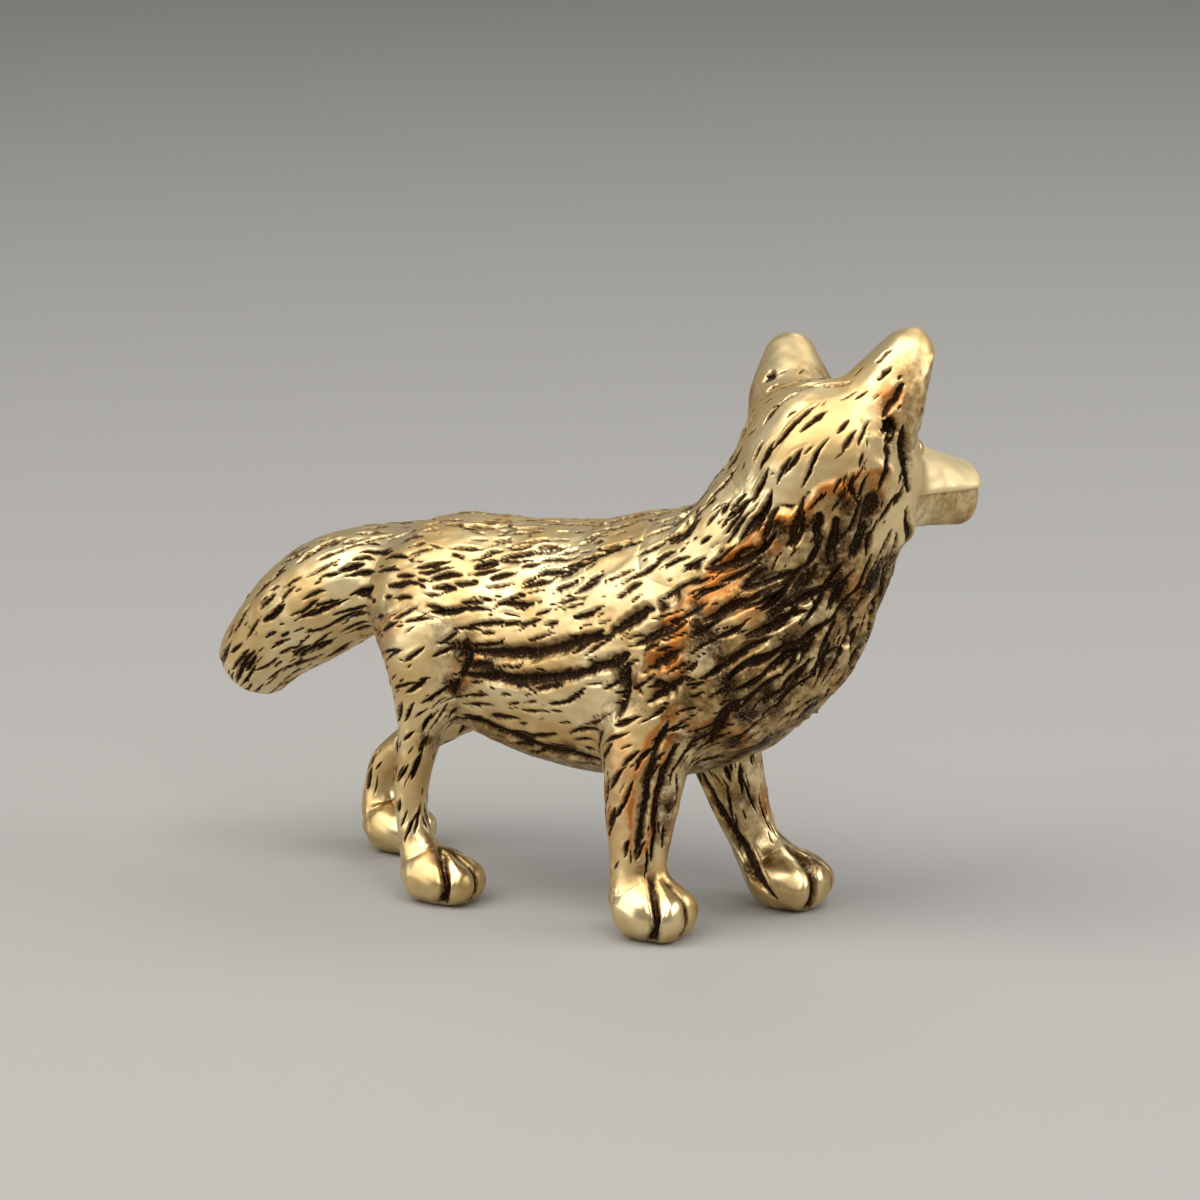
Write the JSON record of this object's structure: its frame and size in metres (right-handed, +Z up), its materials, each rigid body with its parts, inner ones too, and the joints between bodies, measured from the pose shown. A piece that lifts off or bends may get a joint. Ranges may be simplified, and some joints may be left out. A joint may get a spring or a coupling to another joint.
{
  "type": "fox figurine",
  "caption": "Small brass fox trinket, walking with its head turned to its left, with a thick ruff, a drooping brush tail and flat soles to stand on.",
  "frame": {"origin": "middle of the figure's box, on the plane of the four soles", "axes": "+X from the tail towards the breast, +Y to the fox's left, +Z up"},
  "size_m": [0.0392, 0.0162, 0.0297],
  "materials": {
    "brass": "antique brass: polished high spots, dark patina in the carved grooves"
  },
  "bodies": {
    "root": {"trunk": "brass", "head": "brass", "tail": "brass", "front_right_leg": "brass", "front_left_leg": "brass", "hind_right_leg": "brass", "hind_left_leg": "brass"}
  },
  "joints": []
}
